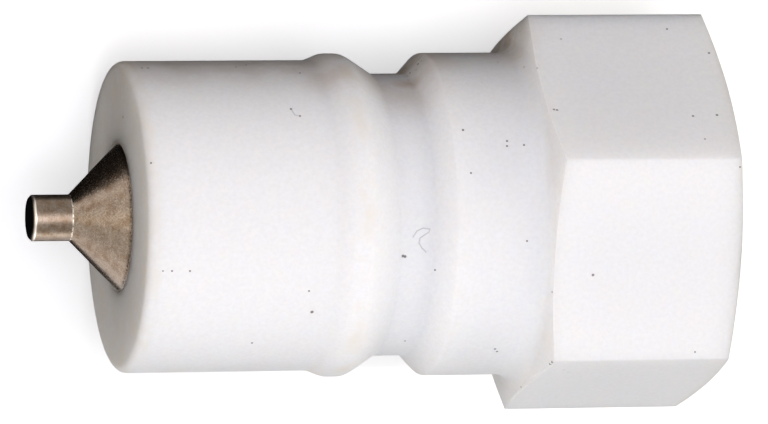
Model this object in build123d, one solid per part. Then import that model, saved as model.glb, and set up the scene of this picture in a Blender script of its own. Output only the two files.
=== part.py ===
from build123d import *
import os
from math import cos, pi, radians, sin, tan

os.makedirs("parts", exist_ok=True)

# Driving dimensions, in millimetres and degrees. The nipple's axis is X. X is 0 at the hexagon's end
# face, where the pipe screws in, and the nose, which plugs into the coupler, points to -X. One flat
# of the hexagon faces down, to -Z.

# Outside of the moulded body, from the nose to the hexagon
nose_diameter = 23.5
nose_rim_round = 0.6
nose_length = 14.55
bead_diameter = 24.5
bead_rise_length = 1.2
bead_crest_length = 1.35
bead_fall_length = 2.35
bead_round = 1.4
groove_diameter = 21.4
groove_floor_length = 2.6
groove_round = 0.35
collar_ramp_length = 1.45
collar_length = 7.1
hexagon_step = 1.25
hexagon_length = 14.5
hexagon_edge_round = 0.2
hexagon_chamfer_angle = 12.5
hexagon_root_round = 1.15

# Inside of the moulded body, from the pipe port to the nose
port_diameter = 20.96
port_wall = 3.02
port_depth = 14.6
port_mouth_chamfer = 0.7
port_step = 1.48
ring_land_length = 2.3
ring_groove_depth = 0.65
guide_shoulder_step = 0.8
mouth_diameter = 11.3
seat_angle = 45.0

# Poppet and its seal
travel = 5.0
stop_margin = 0.3
seat_gap = 0.2
pin_diameter = 3.5
pin_length = 3.05
pin_tip_chamfer = 0.2
seal_cord = 1.6
seal_contact_inset = 0.75
seal_contact_gap = 0.08
seal_groove_width = 1.9
flange_flow_gap = 1.0
flange_length = 1.2
shoulder_inset = 0.4
stem_diameter = 4.0
stem_engagement = 5.0
stem_end_chamfer = 0.3

# Valve guide, retaining ring and spring
hub_wall = 1.25
hub_length = 7.1
guide_rim_wall = 1.5
guide_rim_length = 3.2
guide_arm_width = 2.0
guide_arm_length = 3.0
guide_arm_count = 3
ring_thickness = 1.0
ring_width = 1.25
ring_gap_angle = 38.0
ring_lug_diameter = 2.6
ring_lug_hole = 1.1
ring_lug_offset_angle = 9.0
wire_diameter = 0.9
spring_hub_gap = 0.55
spring_turns = 5.5
spring_end_gap = 0.1

# Clearance between pieces that slide or push into each other
slip = 0.05

# Diameters that follow from those above: the wall round the port sets the hexagon, which takes a
# 27 mm spanner, and the port sets what has to go in through it
hexagon_across_flats = port_diameter + 2 * port_wall
collar_diameter = hexagon_across_flats - 2 * hexagon_step
guide_seat_diameter = port_diameter - 2 * port_step
chamber_diameter = guide_seat_diameter - 2 * guide_shoulder_step
flange_diameter = chamber_diameter - 2 * flange_flow_gap
hub_bore = stem_diameter + 2 * slip
hub_diameter = hub_bore + 2 * hub_wall
shoulder_diameter = hub_diameter - 2 * shoulder_inset
spring_diameter = hub_diameter + 2 * spring_hub_gap + wire_diameter

# Places along the axis, from the nose to the hexagon on the outside
hexagon_front_x = -hexagon_length
collar_x = hexagon_front_x - collar_length
collar_ramp_x = collar_x - collar_ramp_length
groove_x = collar_ramp_x - groove_floor_length
bead_fall_x = groove_x - bead_fall_length
bead_crest_x = bead_fall_x - bead_crest_length
bead_x = bead_crest_x - bead_rise_length
nose_x = bead_x - nose_length

# Places along the axis on the inside, from the port to the guide's hub
port_bottom_x = -port_depth
ring_groove_rear_x = port_bottom_x - port_step - ring_land_length
guide_rear_x = ring_groove_rear_x - ring_thickness - 2 * slip
guide_shoulder_x = guide_rear_x - guide_rim_length - slip
arm_front_x = guide_rear_x - guide_arm_length
hub_front_x = guide_rear_x - hub_length

# The seal's round section stands just clear of the seat's cone, whose wall leans by the seat angle
seat_slope = tan(radians(seat_angle))
seat_contact_radius = chamber_diameter / 2 - seal_contact_inset
seat_contact_x = nose_x + (seat_contact_radius - mouth_diameter / 2) / seat_slope
seal_clear = seal_cord / 2 + seal_contact_gap
seal_x = seat_contact_x + seal_clear * sin(radians(seat_angle))
seal_radius = seat_contact_radius - seal_clear * cos(radians(seat_angle))

# The poppet's cone runs parallel to the seat, from the pin to the lip in front of the seal
lip_x = seal_x - seal_groove_width / 2
lip_radius = mouth_diameter / 2 - seat_gap + (lip_x - nose_x) * seat_slope
cone_front_x = lip_x - (lip_radius - pin_diameter / 2) / seat_slope
flange_front_x = lip_x + seal_groove_width
flange_rear_x = flange_front_x + flange_length
shoulder_rear_x = hub_front_x - travel - stop_margin


def turn(points):
    """Turn a closed outline of (x, radius) points about the axis."""
    return revolve(make_face(Polyline(*points, close=True)), Axis.X)


def tube(x_from, x_to, outer, inner=0.0):
    """A disc, or a tube if it has an inner diameter, on the axis between two places."""
    section = Circle(outer / 2)
    if inner:
        section -= Circle(inner / 2)
    return extrude(Plane.YZ.offset(x_from) * section, x_to - x_from)


def turned_nose():
    """Nose, locking bead, groove for the coupler's balls, collar and the round at the hexagon's root."""
    flat_radius = hexagon_across_flats / 2
    collar_radius = collar_diameter / 2
    root_round = min(hexagon_root_round, 0.9 * hexagon_step)
    flare_radius = (collar_radius + root_round + flat_radius) / 2
    root_end_x = hexagon_front_x + hexagon_step
    corners = [
        (nose_x, 0, 0),
        (nose_x, nose_diameter / 2, nose_rim_round),
        (bead_x, nose_diameter / 2, bead_round),
        (bead_crest_x, bead_diameter / 2, bead_round),
        (bead_fall_x, bead_diameter / 2, bead_round),
        (groove_x, groove_diameter / 2, groove_round),
        (collar_ramp_x, groove_diameter / 2, groove_round),
        (collar_x, collar_radius, groove_round),
        (hexagon_front_x, collar_radius, root_round),
        (hexagon_front_x, flare_radius, 0),
        (root_end_x, flare_radius, 0),
        (root_end_x, 0, 0),
    ]
    points = [(x, radius) for x, radius, _ in corners]
    rounds = [corner_round for _, _, corner_round in corners]
    return revolve(make_face(FilletPolyline(*points, radius=rounds, close=True)), Axis.X)


def chamfered_hexagon():
    """A hexagonal bar with lightly rounded edges, its corners turned off at both ends."""
    outline = RegularPolygon(hexagon_across_flats / 2, 6, major_radius=False)
    outline = fillet(outline.vertices(), hexagon_edge_round)
    bar = extrude(Plane.YZ.offset(hexagon_front_x) * outline, hexagon_length)
    flat_radius = hexagon_across_flats / 2
    drum_radius = flat_radius / cos(pi / 6) + hexagon_step
    setback = (drum_radius - flat_radius) * tan(radians(hexagon_chamfer_angle))
    drum = turn([
        (hexagon_front_x, 0),
        (hexagon_front_x, flat_radius),
        (hexagon_front_x + setback, drum_radius),
        (-setback, drum_radius),
        (0, flat_radius),
        (0, 0),
    ])
    return bar & drum


def way_through():
    """What is hollow: valve seat, chamber, guide seat, retaining ring groove and pipe port."""
    mouth_radius = mouth_diameter / 2
    chamber_radius = chamber_diameter / 2
    guide_radius = guide_seat_diameter / 2
    groove_radius = guide_radius + ring_groove_depth
    port_radius = port_diameter / 2
    overrun = port_mouth_chamfer
    return turn([
        (nose_x - overrun, 0),
        (nose_x - overrun, mouth_radius - overrun * seat_slope),
        (nose_x + (chamber_radius - mouth_radius) / seat_slope, chamber_radius),
        (guide_shoulder_x, chamber_radius),
        (guide_shoulder_x, guide_radius),
        (guide_rear_x, guide_radius),
        (guide_rear_x, groove_radius),
        (ring_groove_rear_x, groove_radius),
        (ring_groove_rear_x, guide_radius),
        (port_bottom_x - port_step, guide_radius),
        (port_bottom_x, port_radius),
        (-port_mouth_chamfer, port_radius),
        (overrun, port_radius + port_mouth_chamfer + overrun),
        (overrun, 0),
    ])


def nipple_body():
    """One moulding: everything that the pipe, the coupler and the valve pieces seat on."""
    return turned_nose() + chamfered_hexagon() - way_through()


def valve_poppet():
    """One turned piece: front pin, sealing cone, seal groove, flange, stop shoulder and guide stem."""
    pin_radius = pin_diameter / 2
    stem_radius = stem_diameter / 2
    groove_floor = seal_radius - seal_cord / 2 - slip
    tip_x = cone_front_x - pin_length
    stem_end_x = hub_front_x + stem_engagement
    return turn([
        (tip_x, 0),
        (tip_x, pin_radius - pin_tip_chamfer),
        (tip_x + pin_tip_chamfer, pin_radius),
        (cone_front_x, pin_radius),
        (lip_x, lip_radius),
        (lip_x, groove_floor),
        (flange_front_x, groove_floor),
        (flange_front_x, flange_diameter / 2),
        (flange_rear_x, flange_diameter / 2),
        (flange_rear_x, shoulder_diameter / 2),
        (shoulder_rear_x, shoulder_diameter / 2),
        (shoulder_rear_x, stem_radius),
        (stem_end_x - stem_end_chamfer, stem_radius),
        (stem_end_x, stem_radius - stem_end_chamfer),
        (stem_end_x, 0),
    ])


def valve_seal():
    """A rubber O-ring in the poppet's groove."""
    return revolve(Pos(seal_x, seal_radius) * Circle(seal_cord / 2), Axis.X)


def valve_guide():
    """A moulded spider: a hub that guides the stem, a rim in the body's seat and arms between them."""
    rim_outer = guide_seat_diameter - 2 * slip
    rim_inner = rim_outer - 2 * guide_rim_wall
    arm_reach = (rim_inner + guide_rim_wall) / 2
    arm = Plane.YZ.offset(arm_front_x) * Pos(arm_reach / 2, 0) * Rectangle(arm_reach, guide_arm_width)
    guide = tube(guide_rear_x - guide_rim_length, guide_rear_x, rim_outer, rim_inner)
    guide += tube(hub_front_x, guide_rear_x, hub_diameter)
    for number in range(guide_arm_count):
        turned_by = 90 + number * 360 / guide_arm_count
        guide += Rot(turned_by, 0, 0) * extrude(arm, guide_arm_length)
    return guide - tube(hub_front_x, guide_rear_x, hub_bore)


def retaining_ring():
    """A spring-steel ring sprung into its groove, open at the top between two lugs for pliers."""
    outer = guide_seat_diameter / 2 + ring_groove_depth - 2 * slip
    inner = outer - ring_width
    lug_centre = inner - (ring_lug_diameter - ring_width) / 2
    gap_height = 2 * outer
    gap_half_width = gap_height * tan(radians(ring_gap_angle / 2))
    gap = make_face(Polyline((0, 0), (-gap_half_width, gap_height), (gap_half_width, gap_height), close=True))
    ring = Circle(outer) - Circle(inner) - gap
    for side in (-1, 1):
        lug_angle = side * (ring_gap_angle / 2 + ring_lug_offset_angle)
        place = Rot(0, 0, lug_angle) * Pos(0, lug_centre)
        ring += place * Circle(ring_lug_diameter / 2)
        ring -= place * Circle(ring_lug_hole / 2)
    return extrude(Plane.YZ.offset(guide_rear_x + slip) * ring, ring_thickness)


def valve_spring():
    """A compression spring of round wire with ground ends, from the poppet's flange to the guide."""
    front_x = flange_rear_x + spring_end_gap
    rear_x = arm_front_x - slip
    length = rear_x - front_x
    start = (front_x, 0, 0)
    helix = Helix(length / spring_turns, length, spring_diameter / 2, center=start, direction=(1, 0, 0))
    section = Plane(origin=helix @ 0, z_dir=helix % 0) * Circle(wire_diameter / 2)
    coil = sweep(section, path=helix, is_frenet=True)
    return coil & tube(front_x, rear_x, spring_diameter + 2 * wire_diameter)


pieces = {
    "nipple_body": nipple_body,
    "valve_poppet": valve_poppet,
    "valve_seal": valve_seal,
    "valve_spring": valve_spring,
    "valve_guide": valve_guide,
    "retaining_ring": retaining_ring,
}
for name, build in pieces.items():
    export_step(build(), os.path.join("parts", name + ".step"))
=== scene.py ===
from math import cos, pi, radians, sin

import bpy
from mathutils import Matrix, Vector
from mathutils.bvhtree import BVHTree


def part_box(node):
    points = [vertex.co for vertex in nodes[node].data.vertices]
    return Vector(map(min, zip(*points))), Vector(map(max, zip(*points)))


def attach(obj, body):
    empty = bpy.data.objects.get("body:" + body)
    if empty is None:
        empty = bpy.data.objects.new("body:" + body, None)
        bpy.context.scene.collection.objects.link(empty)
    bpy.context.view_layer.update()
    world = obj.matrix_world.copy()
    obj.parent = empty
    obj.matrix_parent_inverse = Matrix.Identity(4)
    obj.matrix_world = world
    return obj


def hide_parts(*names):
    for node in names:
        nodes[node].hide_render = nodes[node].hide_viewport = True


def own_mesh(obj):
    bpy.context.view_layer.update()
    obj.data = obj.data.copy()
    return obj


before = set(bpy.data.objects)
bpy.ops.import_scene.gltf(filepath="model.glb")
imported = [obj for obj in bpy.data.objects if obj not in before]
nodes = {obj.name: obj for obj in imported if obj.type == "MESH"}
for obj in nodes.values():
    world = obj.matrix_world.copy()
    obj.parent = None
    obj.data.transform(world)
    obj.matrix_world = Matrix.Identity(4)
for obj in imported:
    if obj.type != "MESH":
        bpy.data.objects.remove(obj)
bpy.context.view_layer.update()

mm = 0.001

# Camera. It looks down on the nipple as the photograph does: the axis lies across the picture, its
# nose end turned a little towards the camera, and the camera is rolled so that one edge of the hexagon
# is near the top of the picture.
picture_width = 768
picture_height = 424
sensor_width = 36.0
camera_distance = 632.29 * mm
pixels_per_metre = 13173.8
axis_turn = 0.2381
axis_roll = 0.0098
hexagon_turn = radians(105.45)
aimed_behind_nose = 22.0 * mm
aimed_right = 1.2763 * mm
aimed_above = -0.1804 * mm

nose_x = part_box("nipple_body")[0].x
along = Vector((1, 0, 0))
picture_up = Vector((0, sin(hexagon_turn), cos(hexagon_turn)))
to_viewer = Vector((0, -cos(hexagon_turn), sin(hexagon_turn)))
turned_right = cos(axis_turn) * along + sin(axis_turn) * to_viewer
camera_back = cos(axis_turn) * to_viewer - sin(axis_turn) * along
camera_right = cos(axis_roll) * turned_right - sin(axis_roll) * picture_up
camera_up = sin(axis_roll) * turned_right + cos(axis_roll) * picture_up
aimed_at = along * (nose_x + aimed_behind_nose)
camera_place = aimed_at - camera_right * aimed_right - camera_up * aimed_above + camera_back * camera_distance

lens = bpy.data.cameras.new("camera")
lens.sensor_fit = "HORIZONTAL"
lens.sensor_width = sensor_width
lens.lens = pixels_per_metre * camera_distance * sensor_width / picture_width
lens.clip_start = 0.01
camera = bpy.data.objects.new("camera", lens)
axes = Matrix((camera_right, camera_up, camera_back)).transposed()
camera.matrix_world = Matrix.Translation(camera_place) @ axes.to_4x4()
bpy.context.scene.collection.objects.link(camera)
bpy.context.scene.camera = camera


# Nipple body. One moulding of white polypropylene: nose, locking bead, groove, collar and hexagon, with
# the valve's seat and the pipe's port inside. It is dull, slightly translucent and faintly mottled. Its
# corners are yellowed, at the nose's rim partly as painted warm shade. Its crooks and top edge carry painted
# brown shade and its bead a brown stain, and it has specks of dirt, a few hair scratches and a painted
# highlight along one corner of the hexagon.
def put(tree, kind, sockets=None, **settings):
    """Adds a shader node, makes its settings, then sets or links its input sockets."""
    node = tree.nodes.new("ShaderNode" + kind)
    for name, value in settings.items():
        setattr(node, name, value)
    for socket, value in (sockets or {}).items():
        if isinstance(value, bpy.types.NodeSocket):
            tree.links.new(value, node.inputs[socket])
        else:
            node.inputs[socket].default_value = value
    return node


def effect(name, inputs, outputs):
    """A new shader node group with these named sockets, given as name: kind and default."""
    group = bpy.data.node_groups.new(name, "ShaderNodeTree")
    for label, (kind, value) in inputs.items():
        socket = group.interface.new_socket(label, in_out="INPUT", socket_type="NodeSocket" + kind)
        socket.default_value = value
    for label, kind in outputs.items():
        group.interface.new_socket(label, in_out="OUTPUT", socket_type="NodeSocket" + kind)
    return group, group.nodes.new("NodeGroupInput").outputs, group.nodes.new("NodeGroupOutput")


def use(tree, group, **sockets):
    """Places a node group in a material; an underscore stands for a space in a socket's name."""
    node = put(tree, "Group", node_tree=group)
    for label, value in sockets.items():
        target = node.inputs[label.replace("_", " ")]
        if isinstance(value, bpy.types.NodeSocket):
            tree.links.new(value, target)
        else:
            target.default_value = value
    return node.outputs


def new_finish(name):
    """A new material: itself, its node tree, its Principled shader and the place on the piece."""
    finish = bpy.data.materials.new(name)
    finish.use_nodes = True
    tree = finish.node_tree
    place = put(tree, "TexCoord").outputs["Object"]
    return finish, tree, tree.nodes["Principled BSDF"], place


def give(piece, finish):
    """The piece's one material."""
    piece.data.materials.clear()
    piece.data.materials.append(finish)


# Mottle: soft clouds and a fine grain, as values round a half, and their height
mottle, from_piece, to_finish = effect(
    "mottle",
    {"Place": ("Vector", (0, 0, 0)), "Cloud size": ("Float", 1.0), "Grain size": ("Float", 0.1)},
    {"Cloud": "Float", "Grain": "Float", "Height": "Float"},
)
clouds_per_metre = put(mottle, "Math", {0: 1.0, 1: from_piece["Cloud size"]}, operation="DIVIDE")
grains_per_metre = put(mottle, "Math", {0: 1.0, 1: from_piece["Grain size"]}, operation="DIVIDE")
cloud = put(mottle, "TexNoise", {
    "Vector": from_piece["Place"],
    "Scale": clouds_per_metre.outputs[0],
    "Detail": 3.0,
    "Roughness": 0.55,
})
grain = put(mottle, "TexNoise", {
    "Vector": from_piece["Place"],
    "Scale": grains_per_metre.outputs[0],
    "Detail": 2.0,
    "Roughness": 0.6,
})
grain_height = put(mottle, "Math", {0: grain.outputs["Fac"], 1: cloud.outputs["Fac"]}, operation="ADD")
mottle.links.new(cloud.outputs["Fac"], to_finish.inputs["Cloud"])
mottle.links.new(grain.outputs["Fac"], to_finish.inputs["Grain"])
mottle.links.new(grain_height.outputs[0], to_finish.inputs["Height"])

# Speck: 1 within the core of one spot, fading to 0 at its rim, on top of the specks before it. The core is
# a share of the width, small for stains and patches of painted shade and large for a grain of dirt, and so is
# the rim.
mark_rim = 0.75
speck, from_piece, to_finish = effect(
    "speck",
    {
        "Place": ("Vector", (0, 0, 0)),
        "Spot": ("Vector", (0, 0, 0)),
        "Width": ("Float", 0.0001),
        "Core": ("Float", 0.35),
        "Before": ("Float", 0.0),
    },
    {"Mask": "Float"},
)
apart = put(speck, "VectorMath", {0: from_piece["Place"], 1: from_piece["Spot"]}, operation="DISTANCE")
in_widths = put(speck, "Math", {0: apart.outputs["Value"], 1: from_piece["Width"]}, operation="DIVIDE")
soft_rim = put(speck, "MapRange", {
    "Value": in_widths.outputs[0],
    "From Min": mark_rim,
    "From Max": from_piece["Core"],
}, interpolation_type="SMOOTHSTEP")
with_before = put(speck, "Math", {
    0: soft_rim.outputs["Result"],
    1: from_piece["Before"],
}, operation="MAXIMUM")
speck.links.new(with_before.outputs[0], to_finish.inputs["Mask"])

# Scratch: 1 along the line from one point to another, fading to 0 at the mark's rim beside it, on top of
# the scratches before it
scratch_core = 0.35
scratch, from_piece, to_finish = effect(
    "scratch",
    {
        "Place": ("Vector", (0, 0, 0)),
        "From": ("Vector", (0, 0, 0)),
        "To": ("Vector", (0, 0, 0)),
        "Width": ("Float", 0.0001),
        "Before": ("Float", 0.0),
    },
    {"Mask": "Float"},
)
run = put(scratch, "VectorMath", {0: from_piece["To"], 1: from_piece["From"]}, operation="SUBTRACT")
offset = put(scratch, "VectorMath", {0: from_piece["Place"], 1: from_piece["From"]}, operation="SUBTRACT")
run_squared = put(scratch, "VectorMath", {0: run.outputs[0], 1: run.outputs[0]}, operation="DOT_PRODUCT")
run_offset = put(scratch, "VectorMath", {0: run.outputs[0], 1: offset.outputs[0]}, operation="DOT_PRODUCT")
share = put(scratch, "Math", {0: run_offset.outputs["Value"], 1: run_squared.outputs["Value"]},
            operation="DIVIDE", use_clamp=True)
nearest = put(scratch, "VectorMath", {0: run.outputs[0], "Scale": share.outputs[0]}, operation="SCALE")
apart = put(scratch, "VectorMath", {0: offset.outputs[0], 1: nearest.outputs[0]}, operation="DISTANCE")
in_widths = put(scratch, "Math", {0: apart.outputs["Value"], 1: from_piece["Width"]}, operation="DIVIDE")
soft_rim = put(scratch, "MapRange", {
    "Value": in_widths.outputs[0],
    "From Min": mark_rim,
    "From Max": scratch_core,
})
with_before = put(scratch, "Math", {
    0: soft_rim.outputs["Result"],
    1: from_piece["Before"],
}, operation="MAXIMUM")
scratch.links.new(with_before.outputs[0], to_finish.inputs["Mask"])

# Band: 1 at a station along the axis, fading to 0 within a reach on both sides
band, from_piece, to_finish = effect(
    "band",
    {"Place": ("Vector", (0, 0, 0)), "Station": ("Float", 0.0), "Reach": ("Float", 0.001)},
    {"Mask": "Float"},
)
split = put(band, "SeparateXYZ", {0: from_piece["Place"]})
station_offset = put(band, "Math", {0: split.outputs["X"], 1: from_piece["Station"]}, operation="SUBTRACT")
station_distance = put(band, "Math", {0: station_offset.outputs[0]}, operation="ABSOLUTE")
band_fade = put(band, "MapRange", {
    "Value": station_distance.outputs[0],
    "From Min": 0.0,
    "From Max": from_piece["Reach"],
    "To Min": 1.0,
    "To Max": 0.0,
}, interpolation_type="SMOOTHSTEP")
band.links.new(band_fade.outputs["Result"], to_finish.inputs["Mask"])

# Where the photograph shows each mark, in its pixels, and how wide the mark is there. The core is the
# share of a mark's width that is full.
specks = [
    (403, 256, 2.6), (405, 256.5, 2.6), (312, 312, 3.0), (593, 275, 2.4), (495, 349, 2.2), (497, 351.5, 2.2),
    (550, 364.5, 3.0), (552, 362.5, 3.0), (151, 163, 1.8), (163, 271, 1.4), (172, 271, 1.8), (190, 271, 1.8),
    (309, 291, 1.8), (252, 343, 2.0), (463, 130, 2.2), (507, 141, 2.0), (507, 146, 2.0), (524, 145, 2.0),
    (527, 241, 1.8), (552, 292, 2.0), (695, 352, 1.6), (709, 53, 2.2), (693, 116, 2.2), (717, 115, 2.4),
    (740, 167, 1.6), (123, 117, 2.4), (142, 68, 2.2), (148, 68, 2.4), (236, 67, 1.8), (246, 65, 2.0),
    (300, 73, 1.8), (418, 64, 2.4), (410, 73, 2.0), (667, 29, 2.0), (705, 139, 1.6), (471, 173, 1.8),
    (435, 270, 1.8), (405, 341, 1.8), (521, 387, 2.0), (291, 109, 2.2), (300, 116, 2.0), (554, 109.5, 2.0),
    (557, 110, 2.0),
]
faint_specks = [
    (537, 68, 2.2), (524, 67, 2.0), (561, 39, 2.2), (405, 72, 2.0), (407, 76, 2.2), (412, 59, 1.8),
    (421, 61, 1.8), (408, 80, 2.0), (416, 70, 1.8), (510, 40, 2.0), (505, 45, 2.2), (500, 47, 2.0),
    (495, 55, 2.4), (501, 56, 1.8), (520, 31, 1.8), (513, 34, 1.8), (498, 62, 2.0), (508, 52, 1.8),
    (564, 370, 2.0), (568, 372, 1.8),
]
# Painted warm shade in the crooks: the groove's top, the collar's front and the hexagon's top chamfer
warm_shade_spots = [
    (404, 70, 50), (414, 60, 50), (406, 84, 40), (498, 50, 60), (508, 36, 60),
]
# Faint brown: a stain on the bead, and painted warm shade in the crooks and along the top edge
faint_stains_and_warm_shade = [
    (328, 74, 70), (385, 84, 90), (402, 92, 80), (425, 62, 80), (514, 46, 90), (300, 66, 90), (240, 64, 110),
    (170, 64, 110), (324, 66, 34), (334, 76, 30),
]
scratches = [
    [(291, 109), (295, 115), (300, 116)],
    [(413, 237), (417, 231), (423, 228), (430, 229), (429, 232), (420, 238), (419, 243), (422, 248),
     (426, 252)],
    [(553, 109), (558, 110.5)],
]
# A painted highlight along one of the hexagon's corners, given by the pixels it runs through
corner_highlight_line = [(551, 366), (538, 376), (524, 388), (514, 397), (506, 404)]
scratch_pixels = 1.1
highlight_line_pixels = 2.6
speck_core = 0.35
brown_spot_core = 0.0
speck_darkness = 0.8
faint_darkness = 0.35
scratch_darkness = 0.28
warm_shade_strength = 0.8
faint_stain_and_shade_strength = 0.4

body = nodes["nipple_body"]
body_surface = BVHTree.FromObject(body, bpy.context.evaluated_depsgraph_get())


def seen_at(pixel_x, pixel_y):
    """The point of the body's surface that the camera sees at a pixel of the picture."""
    right = (pixel_x - picture_width / 2) / pixels_per_metre
    down = (pixel_y - picture_height / 2) / pixels_per_metre
    ray = camera_right * right - camera_up * down - camera_back * camera_distance
    return body_surface.ray_cast(camera_place, ray.normalized())[0]


def any_of(tree, masks):
    """The largest of the masks."""
    most = masks[0]
    for mask in masks[1:]:
        most = put(tree, "Math", {0: most, 1: mask}, operation="MAXIMUM").outputs[0]
    return most


def spotted(tree, spots, core):
    """A mask of all these spots, each given by its pixel and its width in pixels."""
    mask = 0.0
    for pixel_x, pixel_y, pixels_wide in spots:
        spot = seen_at(pixel_x, pixel_y)
        if spot:
            mask = use(tree, speck, Place=place, Spot=spot, Width=pixels_wide / pixels_per_metre, Core=core,
                       Before=mask)["Mask"]
    return mask


def lined(tree, lines, pixels_wide):
    """A mask of all these lines, each given by the pixels that it runs through."""
    mask = 0.0
    for line in lines:
        points = [point for point in (seen_at(*pixel) for pixel in line) if point]
        for start, end in zip(points, points[1:]):
            mask = use(tree, scratch, Place=place, From=start, To=end, Width=pixels_wide / pixels_per_metre,
                       Before=mask)["Mask"]
    return mask


def times(tree, mask, share):
    """A mask made weaker by a share, or by another mask."""
    return put(tree, "Math", {0: mask, 1: share}, operation="MULTIPLY").outputs[0]


plastic_white = (0.89, 0.895, 0.91, 1)
plastic_grey = (0.845, 0.85, 0.865, 1)
plastic_yellowed_and_shaded = (0.84, 0.81, 0.76, 1)
plastic_painted_highlight = (0.95, 0.94, 0.90, 1)
stain_and_shade_brown = (0.46, 0.34, 0.25, 1)
dirt_brown = (0.055, 0.045, 0.04, 1)

white_plastic, tree, plastic, place = new_finish("white_plastic")
mottled = use(tree, mottle, Place=place, Cloud_size=2.5 * mm, Grain_size=0.3 * mm)
grainy = put(tree, "MapRange", {"Value": mottled["Grain"], "From Min": 0.3, "From Max": 0.7})
moulded = put(tree, "MixRGB", {"Fac": grainy.outputs[0], 1: plastic_white, 2: plastic_grey})

# Yellowed corners: the nose's rim, the bead's crest, the collar's front and the hexagon's front, each with
# how far it reaches along the axis and how strong it is. At the nose's rim the yellow is partly painted warm
# shade.
bead_crest_x = -28.6 * mm
collar_front_x = -21.4 * mm
hexagon_corner_x = -14.3 * mm
corner_stations = [
    (nose_x + 0.4 * mm, 0.9 * mm, 1.0),
    (bead_crest_x, 1.2 * mm, 1.0),
    (collar_front_x, 1.1 * mm, 0.35),
    (hexagon_corner_x, 1.0 * mm, 0.2),
]
yellowing_and_warm_shade = any_of(tree, [
    times(tree, use(tree, band, Place=place, Station=station, Reach=reach)["Mask"], share)
    for station, reach, share in corner_stations
])
patchy = put(tree, "MapRange", {"Value": mottled["Cloud"], "From Min": 0.4, "From Max": 0.7})
yellow_share = times(tree, yellowing_and_warm_shade, patchy.outputs[0])
aged = put(tree, "MixRGB", {"Fac": yellow_share, 1: moulded.outputs[0], 2: plastic_yellowed_and_shaded})

# Brown: painted warm shade in the crooks and along the top edge, and a stain on the bead; then the dirt, the
# scratches and a painted highlight along the hexagon's corner
blotchy = put(tree, "MapRange", {"Value": mottled["Cloud"], "From Min": 0.3, "From Max": 0.55, "To Min": 0.4})
stain_and_shade_mask = any_of(tree, [
    times(tree, spotted(tree, warm_shade_spots, brown_spot_core), warm_shade_strength),
    times(tree, spotted(tree, faint_stains_and_warm_shade, brown_spot_core), faint_stain_and_shade_strength),
])
stain_and_shade_share = times(tree, stain_and_shade_mask, blotchy.outputs[0])
browner = put(tree, "MixRGB", {"Fac": stain_and_shade_share, 1: aged.outputs[0], 2: stain_and_shade_brown})
scratch_mask = lined(tree, scratches, scratch_pixels)
dirt_share = any_of(tree, [
    times(tree, spotted(tree, specks, speck_core), speck_darkness),
    times(tree, spotted(tree, faint_specks, speck_core), faint_darkness),
    times(tree, scratch_mask, scratch_darkness),
])
dirtied = put(tree, "MixRGB", {"Fac": dirt_share, 1: browner.outputs[0], 2: dirt_brown})
# Painted highlight along the hexagon's corner, broken up by the grain
corner_highlight_mask = lined(tree, [corner_highlight_line], highlight_line_pixels)
corner_highlight_breaks = put(tree, "MapRange", {"Value": mottled["Grain"], "From Min": 0.46, "From Max": 0.54})
corner_highlight_share = times(tree, corner_highlight_mask, corner_highlight_breaks.outputs[0])
paled = put(tree, "MixRGB", {"Fac": corner_highlight_share, 1: dirtied.outputs[0], 2: plastic_painted_highlight})
tree.links.new(paled.outputs[0], plastic.inputs["Base Color"])
dull = put(tree, "MapRange", {"Value": mottled["Grain"], "To Min": 0.5, "To Max": 0.66})
tree.links.new(dull.outputs[0], plastic.inputs["Roughness"])
dimpled = put(tree, "Bump", {"Strength": 0.3, "Distance": 0.02 * mm, "Height": mottled["Grain"]})
pressed = put(tree, "Bump", {"Strength": 0.6, "Distance": 0.04 * mm, "Height": scratch_mask,
                             "Normal": dimpled.outputs[0]}, invert=True)
tree.links.new(pressed.outputs[0], plastic.inputs["Normal"])
plastic.inputs["Subsurface Weight"].default_value = 1.0
plastic.inputs["Subsurface Radius"].default_value = (1.0, 0.9, 0.8)
plastic.inputs["Subsurface Scale"].default_value = 4 * mm
plastic.inputs["Specular IOR Level"].default_value = 0.1
give(body, white_plastic)


# Pipe thread. Moulded with the body inside its port: half inch parallel pipe thread, fourteen turns to
# the inch, right-handed, with the rounded crests and roots of its kind and a run-out at both ends.
thread_pitch = 25.4 / 14 * mm
thread_root = 10.5 * mm
thread_crest = 9.32 * mm
thread_from = -13.9 * mm
thread_to = -1.1 * mm
thread_run_out = 0.45
thread_steps_per_turn = 72
# Across one thread: how far along, in pitches, and how high, as a share of its depth
thread_profile = [(-0.46, -0.04), (-0.37, 0.12), (-0.12, 0.88), (-0.05, 0.98), (0.05, 0.98), (0.12, 0.88),
                  (0.37, 0.12), (0.46, -0.04)]


def mesh_piece(name, points, faces):
    """A new smooth piece from points and faces, in the frame's own metres."""
    mesh = bpy.data.meshes.new(name)
    mesh.from_pydata(points, [], faces)
    mesh.update()
    mesh.shade_smooth()
    piece = bpy.data.objects.new(name, mesh)
    bpy.context.scene.collection.objects.link(piece)
    return piece


def swept(sections):
    """Points and faces of a closed rod through sections that all have the same number of points."""
    size = len(sections[0])
    points = [point for section in sections for point in section]
    faces = []
    for start in range(0, len(points) - size, size):
        for side in range(size):
            after = (side + 1) % size
            faces.append((start + side, start + after, start + size + after, start + size + side))
    faces.append(tuple(reversed(range(size))))
    faces.append(tuple(range(len(points) - size, len(points))))
    return points, faces


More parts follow.
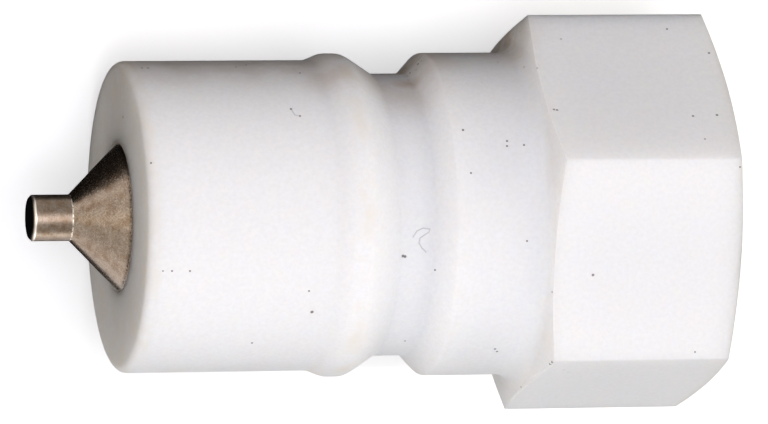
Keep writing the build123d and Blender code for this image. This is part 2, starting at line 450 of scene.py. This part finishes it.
def thread_sections():
    """The thread's profile, step by step along the helix, sinking into the wall at its two ends."""
    turns = (thread_to - thread_from) / thread_pitch
    steps = round(turns * thread_steps_per_turn)
    for step in range(steps + 1):
        turned = turns * step / steps
        angle = 2 * pi * turned
        run_in = min(1.0, turned / thread_run_out, (turns - turned) / thread_run_out)
        depth = (thread_root - thread_crest) * run_in
        section = []
        for pitches, height in thread_profile:
            radius = thread_root - depth * height
            x = thread_from + thread_pitch * (turned + pitches * run_in)
            section.append((x, -radius * sin(angle), radius * cos(angle)))
        yield section


port_thread = mesh_piece("port_thread", *swept(list(thread_sections())))
give(port_thread, white_plastic)
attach(port_thread, "housing")


# Valve guide. A spider moulded of natural, uncoloured plastic, a little yellower and glossier than the
# body. Its rim sits in the body, and its hub guides the poppet's stem.
guide_cream = (0.78, 0.75, 0.66, 1)
guide_shadow = (0.70, 0.66, 0.56, 1)
natural_plastic, tree, shader, place = new_finish("natural_plastic")
mottled = use(tree, mottle, Place=place, Cloud_size=1.5 * mm, Grain_size=0.25 * mm)
creamy = put(tree, "MixRGB", {"Fac": mottled["Cloud"], 1: guide_cream, 2: guide_shadow})
tree.links.new(creamy.outputs[0], shader.inputs["Base Color"])
satin = put(tree, "MapRange", {"Value": mottled["Grain"], "To Min": 0.35, "To Max": 0.5})
tree.links.new(satin.outputs[0], shader.inputs["Roughness"])
dimpled = put(tree, "Bump", {"Strength": 0.2, "Distance": 0.02 * mm, "Height": mottled["Height"]})
tree.links.new(dimpled.outputs[0], shader.inputs["Normal"])
shader.inputs["Subsurface Weight"].default_value = 0.4
shader.inputs["Subsurface Radius"].default_value = (1.0, 0.8, 0.55)
shader.inputs["Subsurface Scale"].default_value = 1.0 * mm
give(nodes["valve_guide"], natural_plastic)


# Retaining ring. Stamped from spring steel strip, oiled black-grey, and sprung into the groove behind the
# guide, with two holed lugs for pliers.
ring_grey = (0.16, 0.155, 0.15, 1)
ring_worn = (0.42, 0.41, 0.40, 1)
ring_steel, tree, shader, place = new_finish("ring_steel")
mottled = use(tree, mottle, Place=place, Cloud_size=0.9 * mm, Grain_size=0.08 * mm)
paled = put(tree, "MapRange", {"Value": mottled["Cloud"], "From Min": 0.45, "From Max": 0.7})
worn = put(tree, "MixRGB", {"Fac": paled.outputs[0], 1: ring_grey, 2: ring_worn})
tree.links.new(worn.outputs[0], shader.inputs["Base Color"])
brushed = put(tree, "MapRange", {"Value": mottled["Grain"], "To Min": 0.25, "To Max": 0.5})
tree.links.new(brushed.outputs[0], shader.inputs["Roughness"])
grained = put(tree, "Bump", {"Strength": 0.2, "Distance": 0.005 * mm, "Height": mottled["Grain"]})
tree.links.new(grained.outputs[0], shader.inputs["Normal"])
shader.inputs["Metallic"].default_value = 1.0
give(nodes["retaining_ring"], ring_steel)


# Valve spring. Cold-coiled from round stainless wire, both end coils closed and ground flat. It stands
# between the poppet's flange and the guide's arms and shortens as the poppet is pushed in.
spring_front, spring_rear = (corner.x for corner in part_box("valve_spring"))
wire_radius = 0.45 * mm
coil_radius = 4.3 * mm
spring_turns = 5.5
closed_turns = 0.9
wire_sides = 16
coil_steps_per_turn = 48
# The closed coils lie against each other, and the end ones are ground down to half their wire
closed_pitch_share = 0.98
closed_rise = 2 * wire_radius * closed_pitch_share
ground_inset = wire_radius / 2


def coil_x(turned):
    """Where the wire's middle is after so many turns: flat in the closed end coils, steep between."""
    free_turns = spring_turns - 2 * closed_turns
    free_rise = spring_rear - spring_front - 2 * ground_inset - 2 * closed_turns * closed_rise
    front_part = min(turned, closed_turns) * closed_rise
    free_part = min(max(turned - closed_turns, 0), free_turns) / free_turns * free_rise
    rear_part = max(turned - closed_turns - free_turns, 0) * closed_rise
    return spring_front + ground_inset + front_part + free_part + rear_part


def coil_sections():
    """Round wire, step by step round the coil, cut flat where the end coils are ground."""
    steps = round(spring_turns * coil_steps_per_turn)
    for step in range(steps + 1):
        turned = spring_turns * step / steps
        angle = 2 * pi * turned
        outward = Vector((0, -sin(angle), cos(angle)))
        section = []
        for side in range(wire_sides):
            around = 2 * pi * side / wire_sides
            point = outward * (coil_radius + wire_radius * cos(around))
            x = coil_x(turned) + wire_radius * sin(around)
            point.x = min(max(x, spring_front), spring_rear)
            section.append(tuple(point))
        yield section


wire_grey = (0.52, 0.51, 0.49, 1)
wire_dark = (0.33, 0.32, 0.31, 1)
wire_steel, tree, shader, place = new_finish("wire_steel")
drawn = put(tree, "TexNoise", {"Vector": place, "Scale": 4000.0, "Detail": 2.0})
drawn_tone = put(tree, "MixRGB", {"Fac": drawn.outputs["Fac"], 1: wire_grey, 2: wire_dark})
tree.links.new(drawn_tone.outputs[0], shader.inputs["Base Color"])
drawn_shine = put(tree, "MapRange", {"Value": drawn.outputs["Fac"], "To Min": 0.18, "To Max": 0.38})
tree.links.new(drawn_shine.outputs[0], shader.inputs["Roughness"])
shader.inputs["Metallic"].default_value = 1.0

coil_spring = mesh_piece("coil_spring", *swept(list(coil_sections())))
give(coil_spring, wire_steel)
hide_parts("valve_spring")
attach(coil_spring, "housing")
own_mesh(coil_spring)


# Seal. A black rubber O-ring stretched into the poppet's groove, dull with a faint bloom.
rubber_black = (0.018, 0.018, 0.019, 1)
rubber_bloom = (0.06, 0.058, 0.055, 1)
black_rubber, tree, shader, place = new_finish("black_rubber")
mottled = use(tree, mottle, Place=place, Cloud_size=1.2 * mm, Grain_size=0.06 * mm)
bloomed = put(tree, "MixRGB", {"Fac": mottled["Cloud"], 1: rubber_black, 2: rubber_bloom})
tree.links.new(bloomed.outputs[0], shader.inputs["Base Color"])
matt = put(tree, "MapRange", {"Value": mottled["Grain"], "To Min": 0.55, "To Max": 0.8})
tree.links.new(matt.outputs[0], shader.inputs["Roughness"])
give(nodes["valve_seal"], black_rubber)


# Poppet. One piece turned from stainless bar: pin, sealing cone, seal groove, flange, shoulder and stem.
# It is dull and brownish with fine rings and pits from the tool. Its edges carry painted highlights, the
# pin's end a painted dark reflection, and the cone a painted dark shade where it meets the body.
poppet = nodes["valve_poppet"]
pin_tip_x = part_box("valve_poppet")[0].x
pin_tip_chamfer = 0.2 * mm
pin_length = 3.05 * mm
cone_front_x = pin_tip_x + pin_length
steel_beige = (0.30, 0.237, 0.183, 1)
steel_brown = (0.18, 0.115, 0.07, 1)
steel_painted_highlight = (0.75, 0.70, 0.62, 1)
steel_painted_dark = (0.008, 0.007, 0.007, 1)
turned_steel, tree, shader, place = new_finish("turned_steel")
x_place = put(tree, "SeparateXYZ", {0: place}).outputs["X"]
along_only = put(tree, "CombineXYZ", {"X": x_place})
rings = put(tree, "TexNoise", {
    "Vector": along_only.outputs[0],
    "Scale": 6000.0,
    "Detail": 2.0,
    "Roughness": 0.6,
})
mottled = use(tree, mottle, Place=place, Cloud_size=0.7 * mm, Grain_size=0.13 * mm)
browned = put(tree, "MapRange", {
    "Value": mottled["Cloud"],
    "From Min": 0.4,
    "From Max": 0.68,
    "To Max": 0.75,
})
browner = put(tree, "MixRGB", {"Fac": browned.outputs[0], 1: steel_beige, 2: steel_brown})
ring_tone = put(tree, "MapRange", {
    "Value": rings.outputs["Fac"],
    "From Min": 0.3,
    "From Max": 0.7,
    "To Min": 0.93,
    "To Max": 1.07,
})
pit_tone = put(tree, "MapRange", {
    "Value": mottled["Grain"],
    "From Min": 0.3,
    "From Max": 0.7,
    "To Min": 0.72,
    "To Max": 1.22,
})
# The pin is a little darker and duller than the cone behind it
pin_ends_x = cone_front_x - 0.05 * mm
cone_begins_x = cone_front_x + 0.05 * mm
pin_tone = put(tree, "MapRange", {
    "Value": x_place,
    "From Min": pin_ends_x,
    "From Max": cone_begins_x,
    "To Min": 0.66,
    "To Max": 1.0,
})
uneven = times(tree, times(tree, ring_tone.outputs[0], pit_tone.outputs[0]), pin_tone.outputs[0])
ringed = put(tree, "MixRGB", {"Fac": 1.0, 1: browner.outputs[0], 2: uneven}, blend_type="MULTIPLY")
# Painted highlights on the pin's tip bevel and, broken up, on the cone's front edge
tip_edge_highlight = use(tree, band, Place=place, Station=pin_tip_x + pin_tip_chamfer, Reach=0.13 * mm)["Mask"]
cone_edge_highlight = use(tree, band, Place=place, Station=cone_front_x, Reach=0.07 * mm)["Mask"]
cone_highlight_breaks = put(tree, "MapRange", {
    "Value": mottled["Grain"],
    "From Min": 0.4,
    "From Max": 0.55,
    "To Max": 0.9,
})
edge_highlights = any_of(tree, [tip_edge_highlight, times(tree, cone_edge_highlight, cone_highlight_breaks.outputs[0])])
with_edge_highlights = put(tree, "MixRGB", {"Fac": edge_highlights, 1: ringed.outputs[0], 2: steel_painted_highlight})
# Painted dark shade on the cone where it enters the body's bore, broken up by the grain
gap_shade_ring = use(tree, band, Place=place, Station=nose_x - 0.02 * mm, Reach=0.22 * mm)["Mask"]
gap_shade_breaks = put(tree, "MapRange", {"Value": mottled["Grain"], "From Min": 0.42, "From Max": 0.6})
gap_shade = times(tree, gap_shade_ring, gap_shade_breaks.outputs[0])
with_gap_shade = put(tree, "MixRGB", {"Fac": gap_shade, 1: with_edge_highlights.outputs[0], 2: steel_painted_dark})
# Painted dark reflection on the pin's end
pin_end_reflection = put(tree, "MapRange", {
    "Value": x_place,
    "From Min": pin_tip_x + 0.09 * mm,
    "From Max": pin_tip_x + 0.05 * mm,
})
with_pin_end_reflection = put(tree, "MixRGB", {"Fac": pin_end_reflection.outputs[0], 1: with_gap_shade.outputs[0], 2: steel_painted_dark})
tree.links.new(with_pin_end_reflection.outputs[0], shader.inputs["Base Color"])
pin_dullness = put(tree, "MapRange", {
    "Value": x_place,
    "From Min": pin_ends_x,
    "From Max": cone_begins_x,
    "To Min": 0.33,
    "To Max": 0.23,
})
pit_dullness = put(tree, "MapRange", {"Value": mottled["Grain"], "To Min": -0.08, "To Max": 0.12})
dulled = put(tree, "Math", {0: pin_dullness.outputs[0], 1: pit_dullness.outputs[0]}, operation="ADD")
tree.links.new(dulled.outputs[0], shader.inputs["Roughness"])
pitted = put(tree, "Bump", {"Strength": 0.3, "Distance": 0.012 * mm, "Height": mottled["Grain"]})
ring_height = put(tree, "Bump", {"Strength": 0.15, "Distance": 0.004 * mm, "Height": rings.outputs["Fac"],
                                 "Normal": pitted.outputs[0]})
tree.links.new(ring_height.outputs[0], shader.inputs["Normal"])
shader.inputs["Metallic"].default_value = 1.0
give(poppet, turned_steel)


# Studio. The nipple lies nose-down on a plain white floor, touching it with its hexagon's front edge and
# the bottom of its nose. A soft key lamp hangs beside the camera, a weaker one shines from the bottom of
# the picture, and two warm ones fill the left and the right.
hexagon_front_x = -14.5 * mm
hexagon_bottom_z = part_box("nipple_body")[0].z
nose_radius = 11.75 * mm
nose_rim_round = 0.6 * mm
floor_slope = (-nose_radius - hexagon_bottom_z) / (nose_x + nose_rim_round - hexagon_front_x)
floor_half = 2.0


def on_floor(near, far, low, high, lift=0.0):
    """The corners of a rectangle on the sloping floor, lifted off it."""
    return [(x, y, hexagon_bottom_z + (x - hexagon_front_x) * floor_slope + lift)
            for x, y in ((far, low), (near, low), (near, high), (far, high))]


floor_piece = mesh_piece("floor", on_floor(floor_half, -floor_half, -floor_half, floor_half), [(0, 1, 2, 3)])
floor_paper = bpy.data.materials.new("floor_paper")
floor_paper.use_nodes = True
tree = floor_paper.node_tree
shader = tree.nodes["Principled BSDF"]
shader.inputs["Roughness"].default_value = 0.9
shader.inputs["Specular IOR Level"].default_value = 0.0


def seen_ray(tree):
    """1 for the rays that show a surface: from the camera, in a gloss or through glass; 0 for soft light."""
    ray = put(tree, "LightPath").outputs
    return any_of(tree, [ray["Is Camera Ray"], ray["Is Glossy Ray"], ray["Is Transmission Ray"]])


paper_white = (0.9, 0.9, 0.9, 1)
paper_bounce = (0.2, 0.2, 0.2, 1)
floor_glow = 0.5
shown = seen_ray(tree)
paper = put(tree, "MixRGB", {"Fac": shown, 1: paper_bounce, 2: paper_white})
tree.links.new(paper.outputs[0], shader.inputs["Base Color"])
shader.inputs["Emission Color"].default_value = (1, 1, 1, 1)
tree.links.new(times(tree, shown, floor_glow), shader.inputs["Emission Strength"])
give(floor_piece, floor_paper)

world = bpy.data.worlds.new("studio")
world.use_nodes = True
bpy.context.scene.world = world
tree = world.node_tree
ambient = (0.042, 0.036, 0.03, 1)
room = put(tree, "MixRGB", {"Fac": seen_ray(tree), 1: ambient, 2: (1, 1, 1, 1)})
tree.links.new(room.outputs[0], tree.nodes["Background"].inputs["Color"])

# A black card on the floor under the nipple gives the metal its dark band. The camera doesn't see it.
card_near = 4.0 * mm
card_far = -80.0 * mm
card_low = -16.0 * mm
card_high = 29.0 * mm
card_lift = 0.2 * mm
card_corners = on_floor(card_near, card_far, card_low, card_high, card_lift)
card = mesh_piece("black_card", card_corners, [(0, 1, 2, 3)])
card_black = bpy.data.materials.new("card_black")
card_black.use_nodes = True
shader = card_black.node_tree.nodes["Principled BSDF"]
shader.inputs["Base Color"].default_value = (0.01, 0.01, 0.01, 1)
shader.inputs["Roughness"].default_value = 1.0
shader.inputs["Specular IOR Level"].default_value = 0.0
give(card, card_black)
card.visible_camera = False
card.visible_shadow = False

lamp_distance = 0.5


def soft_lamp(name, direction, size, power, colour=(1, 1, 1)):
    """A square soft lamp that looks at the nipple's middle from a direction."""
    light = bpy.data.lights.new(name, "AREA")
    light.size = size
    light.energy = power
    light.color = colour
    lamp = bpy.data.objects.new(name, light)
    bpy.context.scene.collection.objects.link(lamp)
    lamp.location = aimed_at + direction.normalized() * lamp_distance
    lamp.rotation_euler = (-direction).to_track_quat("-Z", "Y").to_euler()


soft_lamp("key", camera_back + camera_right * 0.12 - camera_up * 0.08, 0.35, 2.0, (1.0, 0.985, 1.05))
soft_lamp("low", -camera_up - camera_right * 0.15 - camera_back * 0.12, 0.3, 1.42)
soft_lamp("left", -camera_right + camera_back * 1.1, 0.3, 0.6, (1.0, 0.88, 0.72))
soft_lamp("right", camera_right + camera_back * 0.25, 0.3, 1.05, (1.0, 0.94, 0.83))

bpy.context.scene.view_settings.view_transform = "Standard"
